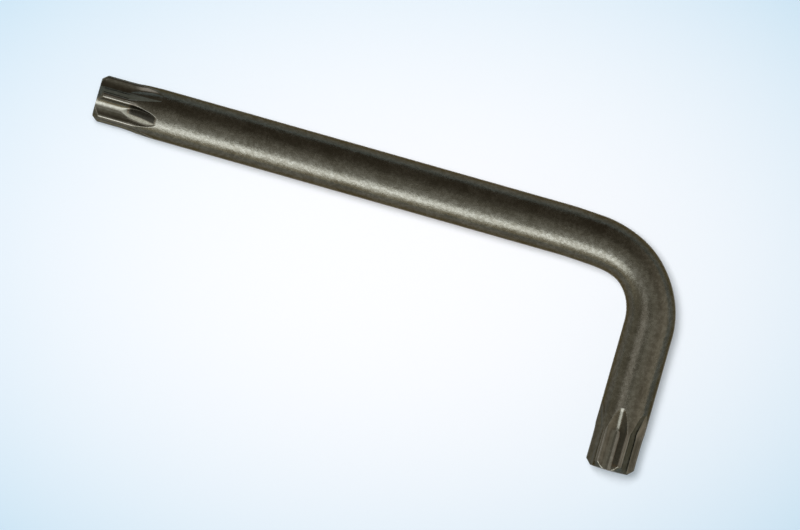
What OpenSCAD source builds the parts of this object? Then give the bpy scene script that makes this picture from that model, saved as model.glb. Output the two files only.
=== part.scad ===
// Star-drive key: a round steel rod, bent into an L, with a six-lobe point pressed into each end.
//
// The key lies flat on Z = 0. Its long arm runs along X with its point at -X, and its short arm
// runs towards -Y from the +X end. The origin is the middle of its footprint.

/* [Rod] */
// Diameter of the rod
rod_d = 9.0; // [8.9:0.1:10]
// Length along the long arm, from its end to the outside of the short arm
long_len = 109.4; // [60:0.2:160]
// Length along the short arm, from its end to the outside of the long arm
short_len = 43.4; // [35:0.2:60]
// Radius of the bend, to the middle of the rod
bend_r = 13.0; // [8:0.5:22]

/* [Points] */
// Width across the crests of opposite lobes
star_a = 8.86; // [8.6:0.02:8.88]
// Width across the bottoms of opposite flutes
star_b = 6.4; // [6.2:0.05:6.55]
// Radius of a lobe
lobe_r = 0.78; // [0.6:0.02:0.9]
// How much is turned off the top of each lobe, which leaves a narrow land along it
crest_trim = 0.02; // [0.01:0.005:0.04]
// Length of the full star, from the end of the arm
star_len = 5.5; // [3:0.1:8]
// Length of a flute, from the end of the arm to where its bottom has risen out of the rod
flute_len = 11.6; // [9.5:0.1:13]
// Width of the bevel round the end
end_bevel = 1.1; // [0.4:0.05:1.25]
// Height of the dome on the short arm's end
short_end_rise = 0.16; // [0:0.02:0.4]
// Turn of the long arm's star about the arm, from one with a flute on top
long_star_turn = 20.7; // [0:0.1:59.9]
// Turn of the short arm's star about the arm, from one with a flute on top
short_star_turn = 53.0; // [0:0.1:59.9]

/* [Hidden] */
$fn = 96;

lobes = 6;
pitch = 360 / lobes;
rod_r = rod_d / 2;
crest_r = star_a / 2;
root_r = star_b / 2;
end_r = rod_r - end_bevel;
over = rod_r / 4; // how far a cutter runs past what it cuts

// Each flute is an arc that runs smoothly into the lobes on both of its sides. That sets its radius.
lobe_at = crest_r + crest_trim - lobe_r;
flute_r = (pow(lobe_at, 2) + pow(root_r, 2) - 2 * lobe_at * root_r * cos(pitch / 2) - pow(lobe_r, 2))
        / (2 * (lobe_r - root_r + lobe_at * cos(pitch / 2)));
flute_at = root_r + flute_r;
blend = lobe_r / 260; // how deep the two arcs bite into each other where they meet

// Where a lobe's arc meets a flute's arc, and its distance from the middle of the star.
flute_xy = flute_at * [cos(pitch / 2), sin(pitch / 2)];
meet_xy = [lobe_at, 0] + lobe_r / (lobe_r + flute_r) * (flute_xy - [lobe_at, 0]);
meet_r = norm(meet_xy);

// Half the width of the land along a lobe. Neighbouring flute cutters stop short of each other there.
land_half = sqrt(2 * crest_trim / (1 / lobe_r - 1 / crest_r));
cutter_gap = land_half / 2;

// Past the full star a flute's bottom rises on an arc of radius rise_r, about an axis at rise_at.
run_out = flute_len - star_len;
flute_depth = rod_r - root_r;
rise_r = (pow(run_out, 2) + pow(flute_depth, 2)) / (2 * flute_depth);
rise_at = root_r + rise_r;
rise_turn = 1.3 * asin(run_out / rise_r);

// The lobes' tops rise with it, and reach the full rod after this run.
crest_arc = rise_at - crest_r * cos(pitch / 2);
crest_climb = (rod_r - crest_r) / cos(pitch / 2);
crest_run = sqrt(crest_climb * (2 * crest_arc - crest_climb));

// Straight length of each arm, between its end and the bend.
long_straight = long_len - rod_r - bend_r;
short_straight = short_len - rod_r - bend_r;

// Outline of the full star, with a lobe on +X.
module star_2d() {
    difference() {
        union() {
            circle(r = meet_r);
            for (i = [0 : lobes - 1])
                rotate(i * pitch)
                    translate([lobe_at, 0])
                        circle(r = lobe_r);
        }
        for (i = [0 : lobes - 1])
            rotate((i + 0.5) * pitch)
                translate([flute_at, 0])
                    circle(r = flute_r + blend);
    }
}

// Outline of what is pressed away between two neighbouring lands, with the flute on +X.
module flute_2d() {
    reach = rod_r + over;
    tip = cutter_gap / sin(pitch / 2);
    side = (reach - tip) * tan(pitch / 2);
    difference() {
        polygon([[tip, 0], [reach, -side], [reach, side]]);
        rotate(pitch / 2)
            star_2d();
    }
}

// The same outline, with the axis that the flute rises about along Y.
module flute_from_axis_2d() {
    translate([rise_at, 0])
        mirror([1, 0])
            flute_2d();
}

// One flute of a point whose end is at Z = 0: straight along the full star, then rising. The
// rising part turns about an axis outside the rod, and the straight part starts where it does.
module flute_cut() {
    translate([rise_at, 0, star_len])
        rotate([90, 0, 180]) {
            rotate_extrude(angle = rise_turn)
                flute_from_axis_2d();
            rotate([90, 0, 0])
                linear_extrude(star_len + over)
                    flute_from_axis_2d();
        }
}

// All the flutes of a point, with one of them on +X.
module flutes() {
    for (i = [0 : lobes - 1])
        rotate(i * pitch)
            flute_cut();
}

// Outline of an end that is turned, on the arm's axis at X = 0, with the end at Y = 0. The end is
// bevelled, and domed by end_rise. Behind it the rod is turned down a little to the tops of the
// lobes, and past that the outline is clear of the rod.
module turned_2d(straight, end_rise) {
    dome_r = end_rise > 0 ? (pow(end_r, 2) + pow(end_rise, 2)) / (2 * end_rise) : 0;
    bevel_end = end_rise + end_bevel - (rod_r - crest_r);
    intersection() {
        polygon([
            [0, -over],
            [end_r - end_rise - over, -over],
            [crest_r, bevel_end],
            [crest_r, star_len + crest_run / 2],
            [2 * rod_r - crest_r, star_len + crest_run * 3 / 2],
            [rod_d, star_len + crest_run * 3 / 2],
            [rod_d, straight + over],
            [0, straight + over],
        ]);
        if (end_rise > 0)
            translate([0, dome_r])
                circle(r = dome_r);
        else
            square([rod_d + over, straight + 2 * over]);
    }
}

// A straight arm before its flutes are pressed, along +Z from the bend at Z = 0.
module arm_blank(straight, end_rise) {
    intersection() {
        linear_extrude(straight + over)
            circle(r = rod_r);
        translate([0, 0, straight])
            rotate([180, 0, 0])
                rotate_extrude()
                    turned_2d(straight, end_rise);
    }
}

// Places: the middle of each arm's end, with +Z into the arm.
module at_long_end() {
    translate([-long_straight, bend_r, 0])
        rotate([0, 90, 0])
            children();
}

module at_short_end() {
    translate([bend_r, -short_straight, 0])
        rotate([-90, 0, 0])
            children();
}

// The bent rod with its ends turned, about the middle of the bend.
module bent_rod() {
    translate([0, bend_r, 0])
        rotate([0, -90, 0])
            arm_blank(long_straight, 0);
    rotate_extrude(angle = 90)
        translate([bend_r, 0])
            circle(r = rod_r);
    translate([bend_r, 0, 0])
        rotate([90, 0, 0])
            arm_blank(short_straight, short_end_rise);
}

module star_key() {
    color([0.29, 0.27, 0.24])
        translate([long_len / 2 - bend_r - rod_r, short_len / 2 - bend_r - rod_r, rod_r])
            difference() {
                bent_rod();
                at_long_end()
                    rotate(180 + long_star_turn)
                        flutes();
                at_short_end()
                    rotate(short_star_turn - 90)
                        flutes();
            }
}

star_key();
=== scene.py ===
import math
from collections import namedtuple

import bpy
import numpy as np
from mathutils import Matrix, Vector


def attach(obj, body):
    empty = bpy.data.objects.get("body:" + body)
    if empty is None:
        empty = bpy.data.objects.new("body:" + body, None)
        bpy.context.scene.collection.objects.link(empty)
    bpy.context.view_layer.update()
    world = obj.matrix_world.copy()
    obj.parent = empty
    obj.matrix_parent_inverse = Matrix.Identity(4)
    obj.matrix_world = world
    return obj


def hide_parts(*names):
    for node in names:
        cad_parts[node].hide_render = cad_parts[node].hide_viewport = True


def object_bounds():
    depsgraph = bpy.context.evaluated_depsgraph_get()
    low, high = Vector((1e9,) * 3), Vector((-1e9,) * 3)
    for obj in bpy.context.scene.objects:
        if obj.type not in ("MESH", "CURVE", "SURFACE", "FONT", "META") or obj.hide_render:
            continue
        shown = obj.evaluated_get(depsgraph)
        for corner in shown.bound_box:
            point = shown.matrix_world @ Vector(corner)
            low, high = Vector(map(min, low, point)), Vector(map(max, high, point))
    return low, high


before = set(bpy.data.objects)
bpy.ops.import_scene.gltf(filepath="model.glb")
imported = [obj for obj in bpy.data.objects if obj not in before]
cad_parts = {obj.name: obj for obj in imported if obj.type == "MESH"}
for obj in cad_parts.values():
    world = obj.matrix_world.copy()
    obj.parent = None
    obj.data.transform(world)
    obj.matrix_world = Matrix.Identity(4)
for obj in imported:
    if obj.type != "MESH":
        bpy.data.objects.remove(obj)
cad_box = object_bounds()

# ---------------------------------------------------------------------------
# Sizes of the key, in millimetres, with angles in radians. z is the distance from an arm's end.
# An angle about an arm is 0 on top, and grows towards the outside of the bend.
# ---------------------------------------------------------------------------
LONG_LEN, SHORT_LEN, ROD_D = (round(1000 * (high - low), 3) for low, high in zip(*cad_box))
ROD_R = ROD_D / 2
BEND_R = 13.0

CREST_R, ROOT_R = 4.43, 3.2  # radius of the star over its lobes, and at the bottoms of its flutes
LOBE_R, CREST_TRIM = 0.58, 0.02  # the lobes are a little narrower than the standard ones in part.scad
STAR_LEN, FLUTE_LEN = 5.5, 11.6
TOPS_RISE = STAR_LEN - 0.5, STAR_LEN + 2.4  # where the rod widens from the lobes' tops to its own radius
END_R = 3.4  # radius of the flat of an end, inside its bevel
LONG_RISE, SHORT_RISE = 0.0, 0.16  # how far an arm's end bulges
LONG_TURN, SHORT_TURN = math.radians(-20.7), math.radians(-7.0)  # where the top flute points

LONG_CONE = 5.0, 11.4  # where the cone under the long end's flutes starts, and where it reaches the rod
SHORT_RAMP = 7.2, 11.3  # where the short end's flutes start to rise, and where they reach the rod
CONE_BLEND, RAMP_BLEND = 0.02, 0.03  # how softly the two start
GROOVE_DEPTH, GROOVE_HALF = 0.11, 0.62  # the tight bottom of a flute's ramp on the short end
LONG_LEAN, SHORT_LEAN = 0.305, 0.16  # how far the shallow side of a flute leans
SHALLOW_ANGLE, SHALLOW_RISE = -0.42, 0.9  # where that side starts, and how far above the flute's bottom
EDGE, NOSE_EDGE = 0.16, 0.05  # how far the edges of a flute are rounded off, and those of its run-out
NOSE = 5.8, 8.2  # where the first go over to the second
FACE_FILLET, CREST_FILLET = 0.10, 0.12  # rounds at the inner and the outer edge of an end's bevel
WEAR = 0.34  # the steel is worn where the pressed surface and the rod are closer than this

BEND_EASE = 0.35  # how far the rod's middle runs inside a round bend at its start
FLAT_OUTSIDE, FLAT_INSIDE = 0.37, 0.27  # how far the bend is flattened halfway round

# Where something starts, is full, starts to fade and ends.
GROOVE_ALONG = 6.4, 7.8, 10.6, FLUTE_LEN
HIGHLIGHT_ALONG = 6.0, 7.4, 9.4, 10.8  # a painted highlight lies on the shallow side of a flute here
HIGHLIGHT_ACROSS = 0.14, 0.24, 0.42, 0.52  # and at these angles from the middle of the flute
EASE_SPAN = -6.0, 2.5, 2.5, 10.0  # from the start of the bend

LOBES = 6
HALF = math.pi / LOBES  # half of the pitch between lobes
LONG_RUN = LONG_LEN - ROD_R - BEND_R
SHORT_RUN = SHORT_LEN - ROD_R - BEND_R
BEND_RUN = BEND_R * math.pi / 2
WHOLE_RUN = LONG_RUN + BEND_RUN + SHORT_RUN

# Lobes and flutes are arcs that run smoothly into each other, which sets the radius of a flute.
LOBE_AT = CREST_R + CREST_TRIM - LOBE_R
FLUTE_R = (LOBE_AT**2 + ROOT_R**2 - 2 * LOBE_AT * ROOT_R * math.cos(HALF) - LOBE_R**2) / (
    2 * (LOBE_R - ROOT_R + LOBE_AT * math.cos(HALF))
)
FLUTE_AT = ROOT_R + FLUTE_R

# Past the full star, a flute's bottom rises on an arc about an axis outside the rod.
RUN_OUT = FLUTE_LEN - STAR_LEN
DEPTH = ROD_R - ROOT_R
RISE_R = (RUN_OUT**2 + DEPTH**2) / (2 * DEPTH)
RISE_AT = ROOT_R + RISE_R


# ---------------------------------------------------------------------------
# Form of one end
# ---------------------------------------------------------------------------
def smoothstep(lo, hi, x):
    t = np.clip((x - lo) / (hi - lo), 0, 1)
    return t * t * (3 - 2 * t)


def plateau(x, start, full, fading, end):
    """0 up to start and from end on, 1 between full and fading, and smooth in between."""
    return smoothstep(start, full, x) * (1 - smoothstep(fading, end, x))


def crossing(low, high, past, halvings=42):
    """Where past() turns true between low and high, which are arrays."""
    for _ in range(halvings):
        middle = (low + high) / 2
        beyond = past(middle)
        high = np.where(beyond, middle, high)
        low = np.where(beyond, low, middle)
    return (low + high) / 2


def star_gap(x, y):
    """How far (x, y) is outside the star, with a flute on +x. y is 0 or more."""
    lobe_x, lobe_y = LOBE_AT * math.cos(HALF), LOBE_AT * math.sin(HALF)
    in_flute = (lobe_x - FLUTE_AT) * y - lobe_y * (x - FLUTE_AT) > 0
    flute = FLUTE_R - np.hypot(x - FLUTE_AT, y)
    lobe = np.hypot(x - lobe_x, y - lobe_y) - LOBE_R
    return np.where(in_flute, flute, lobe)


def star_radius(angle, z, unmoved):
    """Radius of a star that moves outwards with z. unmoved() takes x back to where it was."""
    least, most = np.full_like(z, 1.0), np.full_like(z, 6.4)  # inside every flute, outside the rod

    def outside(radius):
        return star_gap(unmoved(radius * np.cos(angle)), radius * np.abs(np.sin(angle))) > 0

    return crossing(least, most, outside)


def arc_cut(angle, z):
    """A pressed surface at an angle from the middle of a flute. Its bottom rises on an arc."""
    past_star = np.maximum(z - STAR_LEN, 0)
    return star_radius(angle, z, lambda x: RISE_AT - np.sqrt((RISE_AT - x) ** 2 + past_star**2))


def long_cut(angle, z):
    """The long end's pressed surface: the arc, or a cone where that is higher."""
    arc = arc_cut(angle, z)
    start, end = LONG_CONE
    cone = ROOT_R + DEPTH * (z - start) / (end - start)
    return (arc + cone) / 2 + np.hypot((arc - cone) / 2, CONE_BLEND)


def short_cut(angle, z):
    """The short end's pressed surface: its bottom rises on a straight ramp with a groove in it."""
    start, end = SHORT_RAMP
    ramp = (z - start) / (end - start)
    rise = DEPTH * (ramp / 2 + np.hypot(ramp / 2, RAMP_BLEND))
    surface = star_radius(angle, z, lambda x: x - rise)
    across = surface * np.sin(angle) / GROOVE_HALF
    return surface - GROOVE_DEPTH * np.exp(-across**2) * plateau(z, *GROOVE_ALONG)


def rod_radius(z):
    """Radius of the round rod: a little less along the star."""
    return CREST_R + (ROD_R - CREST_R) * smoothstep(*TOPS_RISE, z)


def edge_angle(z):
    """Angle from the middle of a flute to its edge."""
    return crossing(np.zeros_like(z), np.full_like(z, HALF), lambda a: arc_cut(a, z) >= rod_radius(z))


def fillet(corner, before, after, radius, steps=4):
    """Points of the round that replaces a corner of an outline."""
    corner, before, after = (np.array(p, float) for p in (corner, before, after))
    u = (before - corner) / np.linalg.norm(before - corner)
    v = (after - corner) / np.linalg.norm(after - corner)
    half = math.acos(np.dot(u, v)) / 2
    middle = corner + (u + v) / np.linalg.norm(u + v) * radius / math.sin(half)
    start = corner + u * radius / math.tan(half) - middle
    end = corner + v * radius / math.tan(half) - middle
    turn = math.pi - 2 * half
    points = []
    for t in np.linspace(0, 1, steps + 1):
        around = (math.sin((1 - t) * turn) * start + math.sin(t * turn) * end) / math.sin(turn)
        points.append(tuple(middle + around))
    return points


FACE_ROWS = 0.25, 0.5, 0.7, 0.84, 0.92  # shares of the way out to the bevel
BEVEL_ROWS = 0.3, 0.5, 0.7  # shares of the way up the bevel


def end_outline(rise):
    """(radius, z) from near the middle of an end's face to where the bevel meets the crests."""
    face = (END_R, rise)
    top = (CREST_R, rise + CREST_R - END_R)
    points = [(END_R * t, rise * t * t) for t in FACE_ROWS]
    points += fillet(face, (0, rise * 0.1), top, FACE_FILLET)
    points += [(face[0] + t * (top[0] - face[0]), face[1] + t * (top[1] - face[1])) for t in BEVEL_ROWS]
    points += fillet(top, face, (CREST_R, top[1] + 2), CREST_FILLET)
    return points


# Columns over half of a flute's pitch. Some stand between the middle of the flute and its edge, as
# shares of that way, closer together near the edge, and the others from there to the mid crest.
FLUTE_COLUMNS, CREST_COLUMNS = 19, 8
HALF_COLUMNS = FLUTE_COLUMNS + CREST_COLUMNS
IN_FLUTE = 1 - (1 - np.linspace(0, 1, FLUTE_COLUMNS + 1)) ** 1.35
ON_CREST = np.linspace(0, 1, CREST_COLUMNS + 1)[1:] ** 1.25
LEAST_EDGE = math.radians(4.5)  # the columns never crowd closer about the middle of a flute

# Rows past the flutes, and a distance at which nothing of an end is left.
PAST_FLUTES = 12.6, 13.2, 14.0, 15.0, 16.5, 18.0, 20.0, 21.0
FAR = 30.0


def column_angles(z):
    """Angles of all the columns, once round: a row for each z. Past the flutes they spread evenly."""
    away = smoothstep(FLUTE_LEN - 0.4, FLUTE_LEN + 9, z)
    edge = np.maximum(edge_angle(z), LEAST_EDGE)
    edge = edge * (1 - away) + HALF * (FLUTE_COLUMNS / HALF_COLUMNS) * away
    edge, away = edge[:, None], away[:, None]
    half = np.concatenate([edge * IN_FLUTE, edge + (HALF - edge) * ON_CREST], 1)
    half = half * (1 - away) + np.linspace(0, HALF, HALF_COLUMNS + 1) * away
    sector = np.concatenate([-half[:, :0:-1], half[:, :-1]], 1)  # from one crest to the next
    return np.concatenate([sector + 2 * HALF * i for i in range(LOBES)], 1)


# Painted shade, a near-black colour on one side of a flute: how thick it is, where it thickens along the
# flute, the angle in degrees from the middle of the flute that it covers from, and where and how far it
# widens.
Scale = namedtuple("Scale", "thickness thickens covers_from widens widening")
LONG_SHADE = Scale(1.0, (5.5, 6.6), -5.0, (8.0, 11.0), 2.5)
SHORT_SHADE = Scale(0.6, (0.4, 1.6), 8.0, (6.2, 7.6), 5.0)
SHADE_RIM = math.radians(4.0)  # how wide its thin rim is

# What differs between the two ends; scale is the painted shade in its flutes.
End = namedtuple("End", "rise turn pressed_radius lean scale")
LONG_END = End(LONG_RISE, LONG_TURN, long_cut, LONG_LEAN, LONG_SHADE)
SHORT_END = End(SHORT_RISE, SHORT_TURN, short_cut, SHORT_LEAN, SHORT_SHADE)

# Rows of points. s is the way along the middle of the rod, and the steel's material goes by the
# last four.
Rows = namedtuple("Rows", "s angles radii from_end pressed worn scaled")


def painted_flute_shade(side, z, scale):
    """Painted shade on the side of a flute that is towards the outside of the bend."""
    start = np.radians(scale.covers_from - scale.widening * smoothstep(*scale.widens, z))
    return scale.thickness * smoothstep(start, start + SHADE_RIM, side) * smoothstep(*scale.thickens, z)


def shallow_side(side, z, end):
    """Radius of the flat, leaning side that one flute of an end has."""
    start = end.pressed_radius(np.zeros_like(z), z) + SHALLOW_RISE
    return start * math.cos(SHALLOW_ANGLE - end.lean) / np.cos(side - end.lean)


def steps_through(start, *legs):
    """Places after start. Each leg is where it ends, and how many even steps lead there."""
    places = []
    for end, count in legs:
        places.extend(np.linspace(start, end, count + 1)[1:])
        start = end
    return np.array(places)


def end_rows(end):
    """Rows of one end, from its face to past the flutes, with s from that end."""
    outline = end_outline(end.rise)
    outline_z = [z for _, z in outline]
    # the rows are closest together where the flutes run out
    along = steps_through(outline_z[-1], (STAR_LEN, 11), (9.6, 24), (12.2, 26))
    along = np.append(along, PAST_FLUTES)
    s = np.append(outline_z, along)
    blank = np.append([r for r, _ in outline], rod_radius(along))[:, None]

    angles = column_angles(s)
    z = np.broadcast_to(s[:, None], angles.shape)
    side = (angles + HALF) % (2 * HALF) - HALF  # angle from the middle of the flute it is in
    top_flute = np.abs(angles) < HALF
    next_flute = np.abs(angles - 2 * HALF) < HALF  # the next one towards the outside of the bend

    cut = end.pressed_radius(np.abs(side), z)
    cut = np.where(next_flute, np.maximum(cut, shallow_side(side, z, end)), cut)
    depth = blank - cut  # of the pressed surface, under the rod's

    nose = smoothstep(*NOSE, z)
    edge = EDGE + (NOSE_EDGE - EDGE) * nose
    rounding = np.maximum(edge - np.abs(depth), 0) / edge
    radii = np.minimum(cut, blank) - rounding**2 * edge / 4

    pressed = smoothstep(-0.10, 0.22, depth)
    worn = np.maximum(WEAR - np.abs(depth), 0) / WEAR * (1 - 0.8 * nose)
    worn = worn * (0.3 + 0.7 * smoothstep(1.0, 2.0, z))
    # a painted highlight: the shallow side of the next flute is made paler, on top of the pale wear at
    # the edges
    painted_highlight = plateau(side, *HIGHLIGHT_ACROSS) * plateau(z, *HIGHLIGHT_ALONG)
    worn = np.maximum(worn, painted_highlight * next_flute)
    # painted shade: a near-black colour on one side of the flutes
    scaled = painted_flute_shade(side, z, end.scale) * smoothstep(0.02, 0.14, depth)
    scaled = scaled * np.where(top_flute, 1.0, 0.15)  # nearly all of it is in one flute
    return Rows(s, angles + end.turn, radii, s, pressed, worn, scaled)


def middle_rows(start, end):
    """Rows of plain rod between two places. The columns turn from one end's star to the other's."""
    bend = LONG_RUN - 2, LONG_RUN + BEND_RUN + 1  # the rows are closer together in the bend
    s = steps_through(start, (bend[0], 25), (bend[1], 43), (end, 3))[:-1]
    far = np.full_like(s, FAR)
    turned = smoothstep(start, end, s)[:, None]
    angles = column_angles(far) + LONG_TURN + (SHORT_TURN - LONG_TURN) * turned
    none = np.zeros_like(angles)
    return Rows(s, angles, np.full_like(angles, ROD_R), far, none, none, none)


# ---------------------------------------------------------------------------
# The whole key, as rows of points from the long end, round the bend, to the short end
# ---------------------------------------------------------------------------
def place(s, angle, radius):
    """A point on the bent rod, in the frame of the part, in millimetres."""
    bend = np.clip((s - LONG_RUN) / BEND_R, 0, math.pi / 2)
    before = np.minimum(s, LONG_RUN) - LONG_RUN
    after = np.maximum(s - LONG_RUN - BEND_RUN, 0)
    middle_x, middle_y = LONG_LEN / 2 - ROD_R - BEND_R, SHORT_LEN / 2 - ROD_R - BEND_R
    # the rod eases into the bend, so its middle runs a little inside the round one there
    round_r = BEND_R - BEND_EASE * plateau(s - LONG_RUN, *EASE_SPAN)
    x = middle_x + before + round_r * np.sin(bend)
    y = middle_y + round_r * np.cos(bend) - after
    # it flattens a little where it is bent, more on the outside than on the inside
    out = radius * np.sin(angle)
    flattened = np.sin(2 * bend) ** 1.4 * np.where(out > 0, FLAT_OUTSIDE, FLAT_INSIDE)
    out = out - flattened * np.sign(out) * (np.abs(out) / ROD_R) ** 2.2
    return np.stack([x + out * np.sin(bend), y + out * np.cos(bend), ROD_R + radius * np.cos(angle)], -1)


def closed_faces(rows, columns):
    """Faces of a tube of points, closed by a fan over each end to one more point."""
    here = np.arange(rows * columns).reshape(rows, columns)
    beside = np.roll(here, -1, axis=1)
    quads = np.stack([here[:-1], here[1:], beside[1:], beside[:-1]], -1).reshape(-1, 4)
    middles = np.full((2, columns), [[rows * columns], [rows * columns + 1]])
    first_fan = np.stack([middles[0], here[0], beside[0]], -1)
    last_fan = np.stack([middles[1], beside[-1], here[-1]], -1)
    return quads.tolist() + first_fan.tolist() + last_fan.tolist()


def mesh_of_key():
    first, last = end_rows(LONG_END), end_rows(SHORT_END)
    last = Rows(*(values[::-1] for values in last))
    last = last._replace(s=WHOLE_RUN - last.s)
    middle = middle_rows(first.s[-1], last.s[0])
    rows = Rows(*(np.concatenate(parts) for parts in zip(first, middle, last)))

    skin = place(rows.s[:, None], rows.angles, rows.radii).reshape(-1, 3)
    middles = place(np.array([0.0, WHOLE_RUN]), 0.0, np.zeros(2))
    points = np.concatenate([skin, middles]) / 1000

    mesh = bpy.data.meshes.new("star_drive_key")
    mesh.from_pydata(points.tolist(), [], closed_faces(*rows.angles.shape))
    mesh.polygons.foreach_set("use_smooth", [True] * len(mesh.polygons))

    def attribute(name, values, at_middles):
        layer = mesh.attributes.new(name, "FLOAT", "POINT")
        layer.data.foreach_set("value", np.append(values, [at_middles] * 2).astype(np.float32))

    attribute("pressed", rows.pressed, 0.5)
    attribute("worn", rows.worn, 0.0)
    attribute("scaled", rows.scaled, 0.0)
    attribute("from_end", np.broadcast_to(rows.from_end[:, None], rows.angles.shape), 0.0)
    mesh.update()
    mesh.validate()
    return mesh


key = bpy.data.objects.new("star_drive_key", mesh_of_key())
bpy.context.scene.collection.objects.link(key)


# ---------------------------------------------------------------------------
# Materials
# ---------------------------------------------------------------------------
class Nodes:
    """Short forms for building a node tree."""

    def __init__(self, tree):
        self.tree = tree
        tree.nodes.clear()

    def add(self, kind, values=None, **settings):
        node = self.tree.nodes.new(kind)
        for name, value in settings.items():
            setattr(node, name, value)
        for socket, value in (values or {}).items():
            self.put(node.inputs[socket], value)
        return node

    def put(self, socket, value):
        if isinstance(value, bpy.types.NodeSocket):
            self.tree.links.new(value, socket)
        else:
            socket.default_value = value

    def math(self, operation, a, b=0.0):
        return self.add("ShaderNodeMath", {0: a, 1: b}, operation=operation).outputs[0]

    def ramp(self, value, low, high, to_low=0.0, to_high=1.0, smooth=True):
        node = self.add(
            "ShaderNodeMapRange",
            {"Value": value, "From Min": low, "From Max": high, "To Min": to_low, "To Max": to_high},
            interpolation_type="SMOOTHSTEP" if smooth else "LINEAR",
        )
        return node.outputs["Result"]

    def mix(self, factor, a, b):
        node = self.add("ShaderNodeMix", data_type="RGBA")
        self.put(node.inputs[0], factor)
        self.put(node.inputs[6], a)
        self.put(node.inputs[7], b)
        return node.outputs[2]

    def noise(self, where, scale, detail, rough):
        values = {"Vector": where, "Scale": scale, "Detail": detail, "Roughness": rough}
        return self.add("ShaderNodeTexNoise", values).outputs["Fac"]

    def attribute(self, name):
        return self.add("ShaderNodeAttribute", attribute_name=name).outputs["Fac"]

    def seen(self):
        """1 for what the camera sees, also by way of metal or glass, and 0 for what only gives light."""
        path = self.add("ShaderNodeLightPath").outputs
        direct = self.math("MAXIMUM", path["Is Camera Ray"], path["Is Glossy Ray"])
        return self.math("MAXIMUM", direct, path["Is Transmission Ray"])


def steel_material():
    """Dark oxide on blasted steel: smoother and a little brighter on the points, paler where its edges
    wear, with a painted highlight on the shallow side of a flute and painted shade in the flutes.
    """
    material = bpy.data.materials.new("black_steel")
    material.use_nodes = True
    t = Nodes(material.node_tree)
    where = t.add("ShaderNodeTexCoord").outputs["Object"]
    pressed, worn, scaled = t.attribute("pressed"), t.attribute("worn"), t.attribute("scaled")
    near_end = t.ramp(t.attribute("from_end"), 6.0, 12.5, 1.0, 0.0)
    smooth = t.math("MAXIMUM", pressed, t.math("MULTIPLY", near_end, 0.55))
    # a brownish painted rim along the edge of the painted shade
    shade_rim = t.math("MULTIPLY", t.ramp(scaled, 0.2, 0.33), t.ramp(scaled, 0.58, 0.45))

    fine = t.noise(where, 3600.0, 2.0, 0.6)
    grain = t.noise(where, 1500.0, 3.0, 0.55)
    patch = t.noise(where, 230.0, 3.0, 0.5)
    cloud = t.noise(where, 42.0, 3.0, 0.5)
    specks = t.noise(where, 1900.0, 1.0, 0.5)

    color = (0.070, 0.063, 0.047, 1)
    for share, strength, over in (
        (t.ramp(cloud, 0.35, 0.65), 1.0, (0.078, 0.071, 0.054, 1)),
        (t.ramp(grain, 0.42, 0.60), 0.65, (0.109, 0.101, 0.080, 1)),
        (t.ramp(patch, 0.52, 0.40), 0.32, (0.050, 0.044, 0.031, 1)),
        (t.ramp(specks, 0.69, 0.76), 0.25, (0.15, 0.14, 0.12, 1)),
        (smooth, 0.2, (0.090, 0.083, 0.066, 1)),
        # pale wear at the edges, and a painted highlight on the shallow side of a flute
        (worn, 0.5, (0.17, 0.155, 0.13, 1)),
        # near-black painted shade in the flutes, and its brownish painted rim
        (scaled, 0.92, (0.011, 0.0095, 0.007, 1)),
        (shade_rim, 0.45, (0.085, 0.055, 0.032, 1)),
    ):
        color = t.mix(t.math("MULTIPLY", share, strength), color, over)

    rough = t.ramp(fine, 0.3, 0.7, 0.20, 0.33, smooth=False)
    rough = t.math("ADD", rough, t.ramp(patch, 0.35, 0.65, -0.03, 0.03))
    rough = t.math("SUBTRACT", rough, t.math("MULTIPLY", smooth, 0.09))
    rough = t.math("ADD", rough, t.math("MULTIPLY", scaled, 0.12))

    height = t.math("ADD", grain, t.math("MULTIPLY", fine, 0.45))
    height = t.math("MULTIPLY", height, t.ramp(smooth, 0.0, 1.0, 1.0, 0.15))
    bump = t.add("ShaderNodeBump", {"Height": height, "Strength": 0.55, "Distance": 0.00006})

    shader = t.add("ShaderNodeBsdfPrincipled", {
        "Base Color": color,
        "Roughness": rough,
        "Metallic": 1.0,
        "Specular Tint": (0.46, 0.42, 0.36, 1),
        "Normal": bump.outputs["Normal"],
    })
    t.add("ShaderNodeOutputMaterial", {"Surface": shader.outputs[0]})
    return material


key.data.materials.append(steel_material())
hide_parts("star_key")
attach(key, "root")


# ---------------------------------------------------------------------------
# Floor, in metres like all that follows
# ---------------------------------------------------------------------------
VIEW_TURN = math.radians(15.85)  # the picture's level line, from +X towards +Y
VIEW_X, VIEW_Y = 0.00487, 0.00322  # what the middle of the picture looks at

FLOOR_RADIUS, FLOOR_GAP = 4.0, 0.00002
OVAL_X, OVAL_Y = 0.100, 0.0665  # how far the painted pool of light in the middle of the floor reaches
FLOOR_MIDDLE, FLOOR_EDGE = (0.91, 0.92, 0.935, 1), (0.59, 0.70, 0.78, 1)
PLAIN_MIDDLE, PLAIN_EDGE = (0.96, 0.97, 1.0, 1), (0.60, 0.84, 1.0, 1)
PLAIN_SHARE = 0.4  # how much of the floor is seen as a plain tone, whether lit or not


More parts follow.
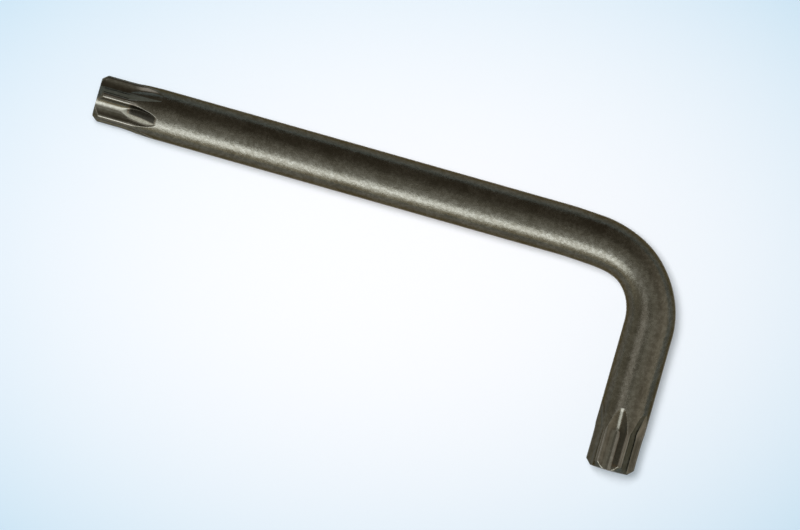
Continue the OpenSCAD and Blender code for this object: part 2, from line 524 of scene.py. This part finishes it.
def floor_material():
    """A painted pool of light: white under the key, and darker and pale blue farther out."""
    material = bpy.data.materials.new("pale_floor")
    material.use_nodes = True
    t = Nodes(material.node_tree)
    where = t.add("ShaderNodeTexCoord").outputs["Object"]
    oval = t.add("ShaderNodeMapping", {"Vector": where, "Scale": (1 / OVAL_X, 1 / OVAL_Y, 1)}).outputs[0]
    far = t.add("ShaderNodeVectorMath", {0: oval}, operation="LENGTH").outputs["Value"]
    outward = t.math("POWER", far, 2.1)
    lit = t.add("ShaderNodeBsdfDiffuse", {"Color": t.mix(outward, FLOOR_MIDDLE, FLOOR_EDGE)})
    plain = t.add(
        "ShaderNodeEmission", {"Color": t.mix(outward, PLAIN_MIDDLE, PLAIN_EDGE), "Strength": 1.0})
    share = t.math("MULTIPLY", t.seen(), PLAIN_SHARE)
    both = t.add("ShaderNodeMixShader", {0: share, 1: lit.outputs[0], 2: plain.outputs[0]})
    t.add("ShaderNodeOutputMaterial", {"Surface": both.outputs[0]})
    return material


bpy.ops.mesh.primitive_circle_add(
    vertices=96, radius=FLOOR_RADIUS, fill_type="NGON",
    location=(VIEW_X, VIEW_Y, -FLOOR_GAP), rotation=(0, 0, VIEW_TURN))
floor = bpy.context.object
floor.name = "floor"
floor.data.materials.append(floor_material())


# ---------------------------------------------------------------------------
# Light. An azimuth is in degrees from +Y towards +X, and an elevation is from the floor.
# ---------------------------------------------------------------------------
WALLS = (0.232, 0.206, 0.170, 1)
RIGHT = (1.24, 1.22, 1.16, 1)
LEFT = (0.57, 0.59, 0.55, 1)
FRONT = (1.25, 1.17, 0.90, 1)
TOP = (0.44, 0.47, 0.46, 1)
ON_FLOOR = 0.12  # how much of these the floor gets: the rest of its light is the overhead lamp's

LAMP_DISTANCE = 0.9
MIRRORED_LAMPS = (  # name, azimuth, elevation, width and height, watts, color
    ("key_wide", 187, 39, (0.74, 0.62), 5.0, (0.88, 1.0, 1.14)),
    ("key_narrow", 185, 37.5, (0.44, 0.32), 1.9, (0.90, 1.0, 1.22)),
    ("front_high", 184, 66, (0.55, 0.55), 0.74, (0.90, 1.0, 1.12)),
    ("left_high", 277, 64, (0.46, 0.46), 0.87, (0.98, 1.0, 1.08)),
    ("right_high", 90, 67, (0.50, 0.50), 0.40, (0.96, 1.0, 1.0)),
)
FLOOR_LAMP = ("overhead", 305, 80, (0.27, 0.27), 8.65, (0.99, 0.99, 1.01))


def toward(azimuth, elevation):
    """Direction to a light."""
    a, e = math.radians(azimuth), math.radians(elevation)
    return (math.cos(e) * math.sin(a), math.cos(e) * math.cos(a), math.sin(e))


def studio_world():
    """Dim walls, brighter at three sides and overhead: one background for each."""
    world = bpy.data.worlds.new("studio")
    bpy.context.scene.world = world
    world.use_nodes = True
    w = Nodes(world.node_tree)
    direction = w.add("ShaderNodeTexCoord").outputs["Generated"]
    split = w.add("ShaderNodeSeparateXYZ", {0: direction})
    x, y = split.outputs["X"], split.outputs["Y"]

    def side(value):
        return w.math("POWER", w.math("MAXIMUM", value, 0.0), 2.0)

    def opposite(value):
        return w.math("MULTIPLY", value, -1.0)

    def glow(axis, sharpness):
        along = w.add("ShaderNodeVectorMath", {0: direction, 1: axis}, operation="DOT_PRODUCT")
        fall = w.math("SUBTRACT", along.outputs["Value"], 1.0)
        return w.math("EXPONENT", w.math("MULTIPLY", fall, sharpness))

    level = w.ramp(w.seen(), 0.0, 1.0, ON_FLOOR, 1.0, smooth=False)
    total = None
    for name, strength, color in (
        ("walls", 1.0, WALLS),
        ("right", side(x), RIGHT),
        ("left", side(opposite(x)), LEFT),
        ("front", side(opposite(y)), FRONT),
        ("top", glow((0, 0, 1), 10.0), TOP),
    ):
        strength = w.math("MULTIPLY", level, strength)
        part = w.add("ShaderNodeBackground", {"Color": color, "Strength": strength}, name=name).outputs[0]
        total = part if total is None else w.add("ShaderNodeAddShader", {0: total, 1: part}).outputs[0]
    w.add("ShaderNodeOutputWorld", {"Surface": total})


def area_light(name, azimuth, elevation, size, power, color, mirrored):
    """A soft box that faces the key: one that the steel mirrors, or one that lights the floor."""
    data = bpy.data.lights.new(name, "AREA")
    data.shape = "RECTANGLE"
    data.size, data.size_y = size
    data.energy = power
    data.color = color
    data.use_shadow = not mirrored
    lamp = bpy.data.objects.new(name, data)
    lamp.visible_camera = False
    lamp.visible_glossy = mirrored
    lamp.visible_diffuse = not mirrored
    bpy.context.scene.collection.objects.link(lamp)
    lamp.location = Vector(toward(azimuth, elevation)) * LAMP_DISTANCE
    lamp.rotation_mode = "QUATERNION"
    lamp.rotation_quaternion = (-lamp.location).to_track_quat("-Z", "Y")


studio_world()
for lamp_values in MIRRORED_LAMPS:
    area_light(*lamp_values, mirrored=True)
area_light(*FLOOR_LAMP, mirrored=False)

# ---------------------------------------------------------------------------
# Camera: straight down, from well above
# ---------------------------------------------------------------------------
DISTANCE = 3.0  # above the middle of the rod
SEEN = 0.1414  # width that the picture takes in there
SENSOR = 36  # width of the sensor, in millimetres
camera_data = bpy.data.cameras.new("camera")
camera_data.sensor_width = SENSOR
camera_data.lens = SENSOR * DISTANCE / SEEN
camera = bpy.data.objects.new("camera", camera_data)
bpy.context.scene.collection.objects.link(camera)
camera.location = (VIEW_X, VIEW_Y, DISTANCE + ROD_R / 1000)
camera.rotation_euler = (0, 0, VIEW_TURN)
bpy.context.scene.camera = camera

bpy.context.scene.view_settings.view_transform = "Standard"
